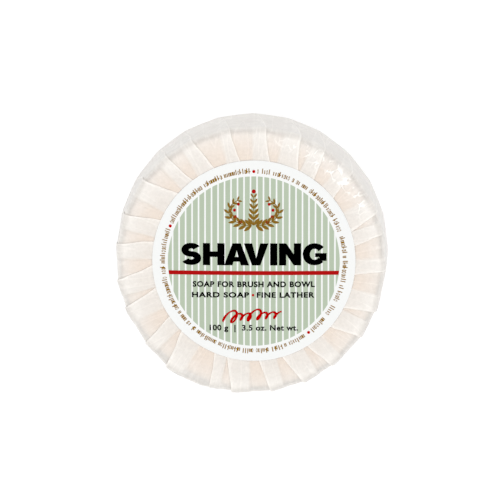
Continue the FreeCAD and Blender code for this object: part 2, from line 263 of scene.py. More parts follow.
def makeFilmMaterial(s):
    material, tree = newMaterial("frostedWrapFilm")
    place = addNode(tree, "ShaderNodeTexCoord").outputs["Object"]
    along = addNode(tree, "ShaderNodeAttribute", attribute_name="alongPleat").outputs["Vector"]
    known = {
        name: addNode(tree, "ShaderNodeAttribute", attribute_name=name).outputs["Fac"]
        for name in ("haze", "crumpled")
    }
    for name, size, detail, roughness in (
        ("fleck", "fleckSize", 5.0, 0.65),
        ("mottle", "mottleSize", 3.0, 0.5),
        ("patch", "glintSize", 1.0, 0.5),  # the last of them also warps the glints
    ):
        noise = addNode(tree, "ShaderNodeTexNoise", {
            "Vector": place, "Scale": 1 / s[size], "Detail": detail, "Roughness": roughness,
        })
        known[name] = noise.outputs["Fac"]
    for name, detail in (("streak", 2.0), ("line", 1.0)):
        stretched = addNode(tree, "ShaderNodeMapping", {
            "Vector": along, "Scale": (1 / s[name + "Width"], 1 / s[name + "Length"], 1.0),
        }).outputs[0]
        known[name] = addNode(tree, "ShaderNodeTexNoise", {
            "Vector": stretched, "Scale": 1.0, "Detail": detail,
        }).outputs["Fac"]
    warped = addNode(tree, "ShaderNodeVectorMath", {
        0: noise.outputs["Color"], 1: (s["glintWarp"],) * 3, 2: place,
    }, operation="MULTIPLY_ADD").outputs[0]
    cells = {"Vector": warped, "Scale": 1 / s["glintSize"]}
    crease = addNode(tree, "ShaderNodeTexVoronoi", cells, feature="DISTANCE_TO_EDGE")
    facet = addNode(tree, "ShaderNodeTexVoronoi", cells, feature="F1").outputs["Color"]
    known["crease"] = crease.outputs["Distance"]
    known["facet"] = addNode(tree, "ShaderNodeSeparateXYZ", {0: facet}).outputs[0]
    addFormulas(tree, known, [
        ("flecked", "fleck", "ADD", "mottle", "SUBTRACT", 1.0),
        ("solid", "flecked", "MULTIPLY_ADD", s["fleckHaze"], "haze"),
        ("streaked", "streak", "SUBTRACT", 0.5),
        ("solid", "streaked", "MULTIPLY_ADD", s["streakHaze"], "solid"),
        # faint creases that run along the pleats
        ("line", "line", "SUBTRACT", 0.5, "ABSOLUTE", "MULTIPLY_ADD", -s["lineSharpness"], 1.0,
         "MAXIMUM", 0.0),
        ("solid", "line", "MULTIPLY_ADD", s["lineHaze"], "solid"),
        # painted highlights along sharp ridges where the film is crumpled, which also give a little real
        # relief
        ("ridge", "crease", "DIVIDE", -s["glintWidth"], "ADD", 1.0, "MAXIMUM", 0.0),
        ("patch", "patch", "SUBTRACT", s["patchFrom"], "MULTIPLY", s["patchSharpness"],
         "MAXIMUM", 0.0, "MINIMUM", 1.0, "MULTIPLY", "crumpled"),
        ("ridge", "ridge", "MULTIPLY", "patch"),
        # and painted highlights on some of the facets between them
        ("facet", "facet", "SUBTRACT", s["facetFrom"], "MAXIMUM", 0.0, "MULTIPLY", "patch"),
        ("ridge", "ridge", "MULTIPLY", s["paintedGlintStrength"]),
        ("ridge", "facet", "MULTIPLY_ADD", s["facetSharpness"], "ridge", "MINIMUM", 1.0),
        # the painted highlights also make the film more solid there
        ("solid", "ridge", "ADD", "solid", "MINIMUM", s["mostSolid"]),
        ("height", "ridge", "MULTIPLY", s["creaseDepth"]),
        ("height", "streak", "MULTIPLY_ADD", s["streakHeight"], "height"),
        ("height", "fleck", "MULTIPLY_ADD", s["fleckHeight"], "height"),
    ])
    colour = addNode(tree, "ShaderNodeMix", {
        0: known["fleck"], 6: linearColour(s["haze"]), 7: linearColour(s["white"]),
    }, data_type="RGBA").outputs[2]
    # painted highlights: the film's colour turned to pure white along the glinting ridges and facets
    colour = addNode(tree, "ShaderNodeMix", {
        0: known["ridge"], 6: colour, 7: linearColour(s["paintedGlint"]),
    }, data_type="RGBA").outputs[2]
    bump = addNode(tree, "ShaderNodeBump", {"Height": known["height"], "Strength": 1.0, "Distance": 1.0})
    endMaterial(tree, {
        "Base Color": colour, "Roughness": s["roughness"], "IOR": 1.49, "Alpha": known["solid"],
        "Coat Weight": s["gloss"], "Coat Roughness": s["glossRoughness"],
        "Normal": bump.outputs[0], "Coat Normal": bump.outputs[0],
    })
    return material


soapMaterial = makeSoapMaterial(soapLook)
filmMaterial = makeFilmMaterial(filmLook)
print("materials made")

wrapSet = {
    "pleats": 24,
    "filmLift": 0.11 * mm,       # middle of the film above the soap's dome
    "backRadius": soapRadius + 1.5 * mm,
    "rimRadius": soapRadius + 1.15 * mm,   # the folds pull the film outwards at the front rim
    "bend": 2.0 * mm,            # radius of the film's bends at both rims
    "mouth": 12.0 * mm,          # radius of the opening under the label
    "foldLift": 0.34 * mm,       # height of a pleat's open fold
    "rimPuff": 0.34 * mm,        # how far the pleats' corners stand out at the front rim
    "underLabel": 0.5,           # share of the fold height left where the label presses
    "angleJitter": 2.1,          # degrees
    "depthJitter": 0.36,         # as a share of a fold's width
    "waver": 0.22,               # of each fold's edge, as a share too
    "waverLength": 7 * mm,
    "waverApart": 7.31,          # from one pleat to the next, in lengths
    "foldStart": 0.20,           # a fold's width at the foot of the wall, as a share of the pitch
    "foldGrowth": 0.34,          # and how much of the sheet's spare width it takes up from there
    "deepest": 0.93,             # a pleat's widest, as a share of the pitch
    "spareFrom": 1.011,          # the sheet's width over the puck's, where folding starts
    "wallRise": 2 * mm,          # distance in which the wall's relief grows
    "rimFade": 5 * mm,           # and dies down past the rim
    "openWidth": 1.2 * mm,       # width at which a fold stands up in full
    "flatness": 0.7,             # of the facets between the wall's folds
    "wallLooseness": 0.45,       # how far the folds stand up on the wall, as a share of the face
    "faceFrom": 0.8 * mm,        # the wall's look turns to the face's from this far before the rim
    "faceTo": 0.7 * mm,          # to this far past it
    "pressFrom": 3 * mm,         # the same for the label's pressure on the folds
    "pressTo": 1.5 * mm,
    "puffReach": 1.6 * mm,       # how far along the pleat a corner stands out
    "wrinkle": 0.10 * mm,        # height of the fine wrinkles
    "wrinkleSize": 7 * mm,
    "crumple": 0.20 * mm,        # height of the crumpled patch's ridges
    "crumpleSize": 3.2 * mm,
    "crumpleSharpness": 5.0,
    "crumpleAt": 42.0,           # degrees clockwise from the top of the label
    "crumpleIn": 2.6 * mm,       # its middle, in from the rim
    "crumpleReach": 1.7 * mm,
    "crumpleNarrowness": 12.5,
    "crumpleHaze": 0.05,
    "bulge": 1.1 * mm,           # where the film stands off the soap's side
    "bulgeAt": 210.0,
    "bulgeNarrowness": 27.0,
    "weld": 0.0001 * mm,         # joins only what lies in one place
    "sharpFrom": 55.0,           # degrees between faces that a crease starts at
    "pressedHaze": 0.29,         # how white the film is where the label presses it on the soap
    "rimHaze": 0.60,
    "wallHaze": 0.84,
    "creaseHaze": 0.22,
    "foldHaze": 0.6,
    "seed": 7,
}

# One pleat's section, from hidden fold to hidden fold: share of the way to the next pleat, shares of this
# pleat's and of the next one's width, height, and how sharply the film is creased.
pleatSection = [
    (0, 0, 0, 0, 0.2), (0, 0.35, 0, 0.02, 0), (0, 0.7, 0, 0.04, 0), (0, 1, 0, 0.05, 0),
    (0.12, 0.88, 0, 0.055, 0), (0.24, 0.76, 0, 0.06, 0), (0.36, 0.64, 0, 0.07, 0), (0.48, 0.52, 0, 0.08, 0),
    (0.6, 0.4, 0, 0.10, 0), (0.72, 0.28, 0, 0.13, 0), (0.83, 0.17, 0, 0.20, 0), (0.91, 0.09, 0, 0.32, 0),
    (0.96, 0.04, 0, 0.45, 0.1), (1, 0, 0.02, 0.56, 0.15), (1, 0, 0.15, 0.68, 0), (1, 0, 0.32, 0.74, 0),
    (1, 0, 0.5, 0.79, 0), (1, 0, 0.68, 0.85, 0), (1, 0, 0.85, 0.93, 0), (1, 0, 0.94, 0.985, 0.5),
    (1, 0, 0.985, 1.0, 1), (1, 0, 1.0, 0.88, 1), (1, 0, 0.985, 0.76, 1), (1, 0, 0.94, 0.70, 0.4),
    (1, 0, 0.8, 0.58, 0), (1, 0, 0.5, 0.36, 0), (1, 0, 0.12, 0.12, 0.1),
]


def makeWrapProfile(s):
    # half the wrap's section as (radius, height), from the middle of the back to the mouth
    floor = (wrapLow.z + soapLow.z) / 2
    wall, rim, bend = s["backRadius"], s["rimRadius"], s["bend"]
    shoulder = domeHeight(rim - bend, s["filmLift"]) - bend
    points = [(r * wall, floor) for r in (0, 0.25, 0.5, 0.7, 0.85, 0.94)]
    bends = 6
    for n in range(bends + 1):
        a = math.pi / 2 * n / bends
        points.append((wall - bend + bend * math.sin(a), floor + bend - bend * math.cos(a)))
    rises = 16
    foot = floor + bend
    for n in range(1, rises):
        points.append((wall + (rim - wall) * (n / rises) ** 2, foot + (shoulder - foot) * n / rises))
    for n in range(bends + 1):
        a = math.pi / 2 * n / bends
        points.append((rim - bend + bend * math.cos(a), shoulder + bend * math.sin(a)))
    edge = rim - bend
    visible = 22
    pressed = labelRadius - s["pressFrom"]
    for n in range(1, visible + 1):
        r = edge + (pressed - edge) * n / visible
        points.append((r, domeHeight(r, s["filmLift"])))
    hidden = 6
    for n in range(1, hidden + 1):
        r = pressed + (s["mouth"] - pressed) * n / hidden
        points.append((r, domeHeight(r, s["filmLift"])))
    return points


def makeWrapTree(s, columns, values):
    tree, known = newTree("pleatedWrap", values)
    known["columns"] = float(columns)
    addFormulas(tree, known, [
        ("lastColumn", "Pleats", "MULTIPLY", "columns"),
        ("columnCount", "lastColumn", "ADD", 1.0),
        ("lastRow", "Rows", "SUBTRACT", 1.0),
    ])
    grid = addNode(tree, "GeometryNodeMeshGrid", {
        "Size X": 1.0, "Size Y": 1.0, "Vertices X": known["columnCount"], "Vertices Y": known["Rows"],
    })
    at = addNode(tree, "ShaderNodeSeparateXYZ", {0: addNode(tree, "GeometryNodeInputPosition").outputs[0]})
    known.update(gridX=at.outputs[0], gridY=at.outputs[1])
    addFormulas(tree, known, [
        ("across", "gridX", "ADD", 0.5),
        ("column", "across", "MULTIPLY", "lastColumn", "ROUND"),
        ("along", "gridY", "ADD", 0.5),
        ("row", "along", "MULTIPLY", "lastRow", "ROUND"),
        ("pleatAt", "column", "DIVIDE", "columns", "ADD", 0.001),
        ("pleat", "pleatAt", "FLOOR"),
        ("nextPleat", "pleat", "ADD", 1.0),
        ("firstColumn", "pleat", "MULTIPLY", "columns"),
        ("place", "column", "SUBTRACT", "firstColumn"),
        ("pleatId", "pleat", "MODULO", "Pleats"),
        ("nextId", "nextPleat", "MODULO", "Pleats"),
        ("depthSeed", "Seed", "ADD", 50.0),
        ("pitch", 2 * math.pi, "DIVIDE", "Pleats"),
    ])
    # the profile's radius, height, direction and length at this row
    parameter = addNode(tree, "GeometryNodeSplineParameter")
    for name, field, kind in (
        ("spot", addNode(tree, "GeometryNodeInputPosition").outputs[0], "FLOAT_VECTOR"),
        ("heading", addNode(tree, "GeometryNodeInputTangent").outputs[0], "FLOAT_VECTOR"),
        ("length", parameter.outputs["Length"], "FLOAT"),
    ):
        known[name] = addNode(tree, "GeometryNodeSampleIndex", {
            "Geometry": known["Geometry"], "Value": field, "Index": known["row"],
        }, data_type=kind, domain="POINT").outputs[0]
    spot = addNode(tree, "ShaderNodeSeparateXYZ", {0: known["spot"]})
    heading = addNode(tree, "ShaderNodeSeparateXYZ", {0: known["heading"]})
    known.update(radius=spot.outputs[0], height=spot.outputs[2])
    known.update(headR=heading.outputs[0], headZ=heading.outputs[2])
    # each pleat's own jitter
    for name, number, seed in (
        ("turn", "pleatId", "Seed"), ("nextTurn", "nextId", "Seed"),
        ("depth", "pleatId", "depthSeed"), ("nextDepth", "nextId", "depthSeed"),
    ):
        known[name] = addNode(tree, "FunctionNodeRandomValue", {
            2: -1.0, 3: 1.0, "ID": known[number], "Seed": known[seed],
        }, data_type="FLOAT").outputs[1]
    # each fold's edge wavers along its length
    addFormulas(tree, known, [("alongLength", "length", "DIVIDE", s["waverLength"])])
    for name, number in (("waver", "pleatId"), ("nextWaver", "nextId")):
        addFormulas(tree, known, [
            ("noiseAt", number, "MULTIPLY", s["waverApart"], "ShaderNodeCombineXYZ", "alongLength", 0.5),
        ])
        noise = addNode(tree, "ShaderNodeTexNoise", {"Vector": known["noiseAt"], "Scale": 1.0, "Detail": 1.0})
        known[name] = noise.outputs["Fac"]
        addFormulas(tree, known, [(name, name, "SUBTRACT", 0.5)])
    # the pleat's section at this column
    for part, name in enumerate(("ahead", "ownShare", "nextShare", "level", "creased")):
        switch = addNode(tree, "GeometryNodeIndexSwitch", data_type="FLOAT")
        while len(switch.index_switch_items) < columns:
            switch.index_switch_items.new()
        tree.links.new(known["place"], switch.inputs["Index"])
        for at, step in enumerate(pleatSection):
            switch.inputs[at + 1].default_value = float(step[part])
        known[name] = switch.outputs[0]
    addFormulas(tree, known, [
        # the sheet is wider than the puck by length over radius, and each pleat takes up its share
        ("spare", "length", "DIVIDE", "radius", "SUBTRACT", s["spareFrom"], "MAXIMUM", 0.0),
        ("fold", "spare", "MULTIPLY", 0.5, "MINIMUM", "Fold Start"),
        ("fold", "spare", "MULTIPLY_ADD", "Fold Growth", "fold", "MULTIPLY", "pitch"),
        ("widest", "pitch", "MULTIPLY", "Deepest"),
        ("own", "depth", "MULTIPLY_ADD", "Depth Jitter", 1.0),
        ("own", "waver", "MULTIPLY_ADD", "Waver", "own", "MULTIPLY", "fold", "MINIMUM", "widest"),
        ("other", "nextDepth", "MULTIPLY_ADD", "Depth Jitter", 1.0),
        ("other", "nextWaver", "MULTIPLY_ADD", "Waver", "other", "MULTIPLY", "fold", "MINIMUM", "widest"),
        # angle of this column, clockwise from the top
        ("turned", "turn", "MULTIPLY", "Angle Jitter"),
        ("here", "pleat", "MULTIPLY_ADD", "pitch", "turned"),
        ("nextTurned", "nextTurn", "MULTIPLY", "Angle Jitter"),
        ("there", "nextPleat", "MULTIPLY_ADD", "pitch", "nextTurned"),
        ("step", "there", "SUBTRACT", "here"),
        ("angle", "ahead", "MULTIPLY_ADD", "step", "here"),
        ("angle", "ownShare", "MULTIPLY_ADD", "own", "angle"),
        ("angle", "nextShare", "MULTIPLY_ADD", "other", "angle"),
        # flat facets between folds, on the wall and at the front rim
        ("facet", "angle", "SUBTRACT", "fold", "DIVIDE", "pitch", "FRACT",
         "SUBTRACT", 0.5, "MULTIPLY", "pitch", "COSINE"),
        ("halfPitch", "pitch", "MULTIPLY", 0.5),
        ("corner", "halfPitch", "COSINE"),
        ("facet", "corner", "DIVIDE", "facet", "SUBTRACT", 1.0),
        ("wallEnd", "Wall Start", "ADD", s["wallRise"]),
        ("rimEnd", "Rim At", "ADD", s["rimFade"]),
        ("pressEnd", "Label At", "ADD", s["pressTo"]),
        ("pressStart", "Label At", "SUBTRACT", s["pressFrom"]),
        ("foldWidth", "fold", "MULTIPLY", "radius"),
        ("faceStart", "Rim At", "SUBTRACT", s["faceFrom"]),
        ("faceEnd", "Rim At", "ADD", s["faceTo"]),
    ])
    for name, value, low, high, first, last in (
        ("wallWeight", "length", "Wall Start", "wallEnd", 0.0, 1.0),
        ("rimFade", "length", "Rim At", "rimEnd", 1.0, 0.0),
        ("pressed", "length", "pressStart", "pressEnd", 1.0, "Under Label"),
        ("opened", "foldWidth", 0.0, s["openWidth"], 0.0, 1.0),
        ("hazeNow", "length", "Rim At", "Label At", "Rim Haze", "Pressed Haze"),
        ("onFace", "length", "faceStart", "faceEnd", 0.0, 1.0),
    ):
        given = (value, low, high, first, last)
        inputs = {at: known[v] if isinstance(v, str) else v for at, v in enumerate(given)}
        known[name] = addNode(tree, "ShaderNodeMapRange", inputs, interpolation_type="SMOOTHSTEP").outputs[0]
    addFormulas(tree, known, [
        ("onWall", "wallWeight", "MULTIPLY", "rimFade"),
        ("flatten", "onWall", "MULTIPLY", s["flatness"], "MULTIPLY_ADD", "facet", 1.0),
        ("ring", "radius", "MULTIPLY", "flatten"),
        ("aside", "angle", "SUBTRACT", "Bulge At", "COSINE", "SUBTRACT", 1.0,
         "MULTIPLY", s["bulgeNarrowness"]),
        ("bulged", "aside", "EXPONENT", "MULTIPLY", "onWall"),
        ("ring", "bulged", "MULTIPLY_ADD", "Bulge", "ring"),
        ("lift", "level", "MULTIPLY", "Fold Lift", "MULTIPLY", "opened", "MULTIPLY", "pressed"),
        # the folds are drawn tighter on the wall than on the face
        ("looseness", "onFace", "MULTIPLY_ADD", 1 - s["wallLooseness"], s["wallLooseness"]),
        ("lift", "lift", "MULTIPLY", "looseness"),
        # the pleats' corners stand out at the front rim
        ("fromRim", "length", "SUBTRACT", "Rim At", "DIVIDE", s["puffReach"]),
        ("fromRim", "fromRim", "MULTIPLY", "fromRim", "MULTIPLY", -1.0),
        ("puff", "fromRim", "EXPONENT"),
        ("sharp", "level", "POWER", 2.0),
        ("puff", "puff", "MULTIPLY", "sharp"),
        ("puffed", "nextDepth", "MULTIPLY_ADD", 0.7, 1.0),
        ("puff", "puff", "MULTIPLY", "puffed"),
        ("lift", "puff", "MULTIPLY_ADD", "Rim Puff", "lift"),
        ("sine", "angle", "SINE"),
        ("cosine", "angle", "COSINE"),
        ("baseX", "ring", "MULTIPLY", "sine"),
        ("baseY", "ring", "MULTIPLY", "cosine"),
        ("around", "angle", "MULTIPLY", soapRadius),
        ("base", "baseX", "ShaderNodeCombineXYZ", "baseY", "height"),
    ])
    # wrinkles that run with the pleats, the same in every layer so that none cuts another
    known["wrinkleNoise"] = addNode(tree, "ShaderNodeTexNoise", {
        "Vector": known["base"], "Scale": 1 / s["wrinkleSize"], "Detail": 2.0,
    }).outputs["Fac"]
    known["creaseNoise"] = addNode(tree, "ShaderNodeTexNoise", {
        "Vector": known["base"], "Scale": 1 / s["crumpleSize"], "Detail": 1.5, "Distortion": 0.6,
    }).outputs["Fac"]
    addFormulas(tree, known, [
        ("wrinkled", "wrinkleNoise", "MULTIPLY", "Wrinkle", "MULTIPLY", "wallWeight"),
        # by the cosine, so that it is the same at both edges of the sheet
        ("crumpleTurn", "angle", "SUBTRACT", "Crumple At", "COSINE"),
        ("crumpleTurn", 1.0, "SUBTRACT", "crumpleTurn", "MULTIPLY", s["crumpleNarrowness"]),
        ("crumpleRow", "length", "SUBTRACT", "Rim At", "SUBTRACT", s["crumpleIn"],
         "DIVIDE", s["crumpleReach"]),
        ("crumpleRow", "crumpleRow", "MULTIPLY_ADD", "crumpleRow", "crumpleTurn", "MULTIPLY", -1.0),
        ("crumpleHere", "crumpleRow", "EXPONENT"),
        ("ridge", "creaseNoise", "SUBTRACT", 0.5, "ABSOLUTE", "MULTIPLY_ADD", -s["crumpleSharpness"], 1.0,
         "MAXIMUM", 0.0, "MULTIPLY", "crumpleHere"),
        ("lift", "ridge", "MULTIPLY_ADD", "Crumple", "lift", "ADD", "wrinkled"),
        # outwards is the profile's direction turned a quarter
        ("inward", "headR", "MULTIPLY", -1.0),
        ("outR", "headZ", "MULTIPLY_ADD", "lift", "ring"),
        ("z", "inward", "MULTIPLY_ADD", "lift", "height"),
        ("x", "outR", "MULTIPLY", "sine"),
        ("y", "outR", "MULTIPLY", "cosine"),
        ("spotNow", "x", "ShaderNodeCombineXYZ", "y", "z"),
        ("alongPleat", "around", "ShaderNodeCombineXYZ", "length", 0.0),
        # how white the film is
        ("offFace", 1.0, "SUBTRACT", "onFace"),
        ("haze", "hazeNow", "MULTIPLY", "onFace"),
        ("haze", "offFace", "MULTIPLY_ADD", "Wall Haze", "haze"),
        ("creaseHaze", "creased", "MULTIPLY", "Crease Haze"),
        ("haze", "creaseHaze", "MULTIPLY_ADD", "opened", "haze"),
        ("haze", "crumpleHere", "MULTIPLY_ADD", s["crumpleHaze"], "haze"),
        ("closeness", "Rim Haze", "SUBTRACT", "hazeNow"),
        ("standing", "level", "MULTIPLY", "closeness", "MULTIPLY", "onFace"),
        ("haze", "standing", "MULTIPLY_ADD", "Fold Haze", "haze"),
    ])
    folded = grid
    for label, kind, value in (
        ("haze", "FLOAT", "haze"), ("crumpled", "FLOAT", "crumpleHere"),
        ("alongPleat", "FLOAT_VECTOR", "alongPleat"),
    ):
        folded = addNode(tree, "GeometryNodeStoreNamedAttribute", {
            "Geometry": folded.outputs[0], "Name": label, "Value": known[value],
        }, data_type=kind, domain="POINT")
    folded = addNode(tree, "GeometryNodeSetPosition", {
        "Geometry": folded.outputs[0], "Position": known["spotNow"],
    })
    closed = addNode(tree, "GeometryNodeMergeByDistance", {
        "Geometry": folded.outputs[0], "Distance": s["weld"],
    })
    outward = addNode(tree, "GeometryNodeFlipFaces", {"Mesh": closed.outputs[0]})
    return endTree(tree, outward, known["Material"])


def makeWrap(s):
    points = makeWrapProfile(s)
    curve = bpy.data.curves.new("wrapProfile", "CURVE")
    curve.dimensions = "3D"
    spline = curve.splines.new("POLY")
    spline.points.add(len(points) - 1)
    lengths = [0.0]
    for n, (r, z) in enumerate(points):
        spline.points[n].co = (r, 0, z, 1)
        if n:
            lengths.append(lengths[-1] + math.dist(points[n], points[n - 1]))
    profile = newPiece("wrapProfile", curve)
    rim = max(n for n, (r, z) in enumerate(points) if r > s["rimRadius"] - s["bend"] * 0.3)
    labelEdge = max(n for n, (r, z) in enumerate(points) if r > labelRadius)
    values = inputsOf(
        s, "Pleats", "Seed", "Fold Lift", "Rim Puff", "Deepest", "Fold Start", "Fold Growth", "Depth Jitter",
        "Waver", "Under Label", "Wrinkle", "Crumple", "Bulge", "Pressed Haze", "Rim Haze", "Wall Haze",
        "Crease Haze", "Fold Haze",
    ) | {
        "Rows": len(points), "Material": filmMaterial,
        "Wall Start": lengths[5],  # the last point on the flat back
        "Rim At": lengths[rim], "Label At": lengths[labelEdge],
        "Angle Jitter": math.radians(s["angleJitter"]), "Crumple At": math.radians(s["crumpleAt"]),
        "Bulge At": math.radians(s["bulgeAt"]),
    }
    piece = applyTree(profile, makeWrapTree(s, len(pleatSection), values), values, "pleatedFilm")
    piece.data.shade_smooth()
    piece.data.set_sharp_from_angle(angle=math.radians(s["sharpFrom"]))
    reach = round(lengths[-1] / mm, 1)
    print("wrap folded:", len(piece.data.vertices), "vertices,", reach, "mm from middle to mouth")
    return piece, lengths[-1]


wrap, sheetRadius = makeWrap(wrapSet)
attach(wrap, "root")
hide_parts("pleated_wrap")
dressNode("soap_puck", soapMaterial)

# Coated label paper, offset printed: smooth and matt, dead white between flat soft inks
labelLook = {
    "paper": "#E2E3E2", "field": "#A8B4A0", "fieldLight": "#AAB6A2", "rule": "#A00000",
    "fieldRadius": 22.9 * mm, "stripePitch": 1.73 * mm, "stripeWidth": 0.43 * mm,
    "ruleAt": -3.05 * mm, "ruleWidth": 1.1 * mm, "soften": 0.03 * mm, "roughness": 0.55, "gloss": 0.05,
    "fibreSize": 0.25 * mm, "fibreHeight": 0.02 * mm,
}


def endPaper(tree, s, place, colour):
    # the paper's fibres under its printed colour
    fibre = addNode(tree, "ShaderNodeTexNoise", {"Vector": place, "Scale": 1 / s["fibreSize"], "Detail": 2.0})
    bump = addNode(tree, "ShaderNodeBump", {
        "Height": fibre.outputs["Fac"], "Strength": 0.08, "Distance": s["fibreHeight"],
    })
    endMaterial(tree, {
        "Base Color": colour, "Roughness": s["roughness"], "IOR": 1.5, "Specular IOR Level": s["gloss"],
        "Normal": bump.outputs[0],
    })


def addPrintedEdges(tree, known, soften, rows):
    # rows of (result, distance, edge): 1 inside the edge and 0 outside it
    for result, distance, edge in rows:
        known[result] = addNode(tree, "ShaderNodeMapRange", {
            0: known[distance], 1: edge - soften, 2: edge + soften, 3: 1.0, 4: 0.0,
        }).outputs[0]


def makeLabelMaterial(s):
    material, tree = newMaterial("printedLabelPaper")
    place = addNode(tree, "ShaderNodeTexCoord").outputs["Object"]
    centred = addNode(tree, "ShaderNodeMapping", {
        "Vector": place, "Location": (-labelCentre.x, -labelCentre.y, 0),
    }).outputs[0]
    at = addNode(tree, "ShaderNodeSeparateXYZ", {0: centred})
    known = addFormulas(tree, {"x": at.outputs[0], "y": at.outputs[1]}, [
        ("xx", "x", "MULTIPLY", "x"),
        ("r", "y", "MULTIPLY_ADD", "y", "xx", "SQRT"),
        ("stripeAt", "x", "DIVIDE", s["stripePitch"], "ADD", 100.5),
        ("band", "stripeAt", "FLOOR", "MODULO", 2.0),
        ("stripeAt", "stripeAt", "FRACT", "SUBTRACT", 0.5, "ABSOLUTE", "MULTIPLY", s["stripePitch"]),
        ("ruleAt", "y", "SUBTRACT", s["ruleAt"], "ABSOLUTE"),
    ])
    addPrintedEdges(tree, known, s["soften"], [
        ("inField", "r", s["fieldRadius"]),
        ("inStripe", "stripeAt", (s["stripePitch"] - s["stripeWidth"]) / 2),
        ("inRule", "ruleAt", s["ruleWidth"] / 2),
    ])
    addFormulas(tree, known, [
        ("inked", "inField", "MULTIPLY", "inStripe"),
        ("ruled", "inField", "MULTIPLY", "inRule"),
    ])
    colour = linearColour(s["paper"])
    field = addNode(tree, "ShaderNodeMix", {
        0: known["band"], 6: linearColour(s["field"]), 7: linearColour(s["fieldLight"]),
    }, data_type="RGBA").outputs[2]
    for share, ink in ((known["inked"], field), (known["ruled"], linearColour(s["rule"]))):
        colour = addNode(tree, "ShaderNodeMix", {0: share, 6: colour, 7: ink}, data_type="RGBA").outputs[2]
    endPaper(tree, s, place, colour)
    return material


# Printing ink, a thin flat film: solid colour with the paper's own soft sheen
inkLook = {
    "blackInk": "#000000", "goldInk": "#7E5F22", "brownInk": "#84600A", "redInk": "#AE0000",
    "berryInk": "#A01010",
    "roughness": 0.6, "gloss": 0.0,
}


def makeInk(name):
    material, tree = newMaterial(name)
    endMaterial(tree, {
        "Base Color": linearColour(inkLook[name]), "Roughness": inkLook["roughness"],
        "IOR": 1.5, "Specular IOR Level": inkLook["gloss"],
    })
    return material


inks = {name: makeInk(name) for name in inkLook if name.endswith("Ink")}

labelSet = {
    "thickness": 0.15 * mm,
    "glue": 0.05 * mm,
    "settle": 0.22 * mm,      # how far the label's edge is pressed down into the pleats
    "settleWidth": 4.5 * mm,
    "wave": 0.04 * mm,        # the pleats' relief in the label's edge
    "waveTurn": 5.7,          # degrees to the first pleat's fold
    "segments": 192,
    "sharpFrom": 40.0,        # degrees
    "inkThickness": 0.02 * mm,
    "inkClear": 0.6,          # gap between the face and the ink's surface, as a share of its thickness
    "artworkEdge": 1.5 * mm,  # the longest edge of a piece of artwork, so that it follows the face
}


def labelSurface(x, y):
    # height of the label's printed face
    s = labelSet
    fromCentre = math.hypot(x - labelCentre.x, y - labelCentre.y)
    share = min(1, max(0, 1 + (fromCentre - labelRadius) / s["settleWidth"]))
    share = share * share * (3 - 2 * share)
    turn = math.atan2(x, y) - math.radians(s["waveTurn"])
    lift = labelLift - share * (s["settle"] - s["wave"] * math.cos(wrapSet["pleats"] * turn))
    return domeHeight(math.hypot(x, y), lift)


def makeLabelDisc(name, radius, below, thickness, material):
    # a round sheet that follows the label's face from a little below it
    count = labelSet["segments"]
    # closer together where the edge settles into the pleats
    rings = [radius * share for share in (0.2, 0.4, 0.6, 0.75, 0.83, 0.87, 0.91, 0.94, 0.97, 0.99, 1)]
    verts = [(labelCentre.x, labelCentre.y)]
    for r in rings:
        for n in range(count):
            turn = 2 * math.pi * n / count
            verts.append((labelCentre.x + r * math.sin(turn), labelCentre.y + r * math.cos(turn)))
    size = len(verts)
    tops = [(x, y, labelSurface(x, y) - below) for x, y in verts]
    bottoms = [(x, y, z - thickness) for x, y, z in tops]
    faces = []
    for n in range(count):
        after = (n + 1) % count
        faces.append((0, 1 + after, 1 + n))
        for ring in range(len(rings) - 1):
            inner, outer = 1 + ring * count, 1 + (ring + 1) * count
            faces.append((inner + n, inner + after, outer + after, outer + n))
        rim = size - count
        faces.append((rim + n, rim + after, size + rim + after, size + rim + n))
    undersides = [tuple(size + v for v in reversed(face)) for face in faces if max(face) < size]
    mesh = bpy.data.meshes.new(name)
    mesh.from_pydata(tops + bottoms, [], faces + undersides)
    mesh.materials.append(material)
    mesh.shade_smooth()
    mesh.set_sharp_from_angle(angle=math.radians(labelSet["sharpFrom"]))
    return newPiece(name, mesh)


# Pressure-sensitive acrylic glue, roller coated: clear, faintly yellow and glossy where it shows at the edge
glueLook = {"tint": "#F4EEDC", "solid": 0.5, "roughness": 0.2}


def makeGlueMaterial(s):
    material, tree = newMaterial("acrylicLabelGlue")
    endMaterial(tree, {
        "Base Color": linearColour(s["tint"]), "Roughness": s["roughness"], "IOR": 1.47, "Alpha": s["solid"],
    })
    return material


labelMaterial = makeLabelMaterial(labelLook)
glueMaterial = makeGlueMaterial(glueLook)
glueLow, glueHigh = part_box("front_label_adhesive")
glueRadius = (glueHigh.x - glueLow.x) / 2
frontLabel = makeLabelDisc("frontLabel", labelRadius, 0, labelSet["thickness"], labelMaterial)
frontGlue = makeLabelDisc("frontLabelGlue", glueRadius, labelSet["thickness"], labelSet["glue"], glueMaterial)
for piece, node, slot in (
    (frontLabel, "front_label", "label_paper"), (frontGlue, "front_label_adhesive", "label_adhesive"),
):
    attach(piece, "root")
    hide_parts(node)
print("front label laid on the pleats")


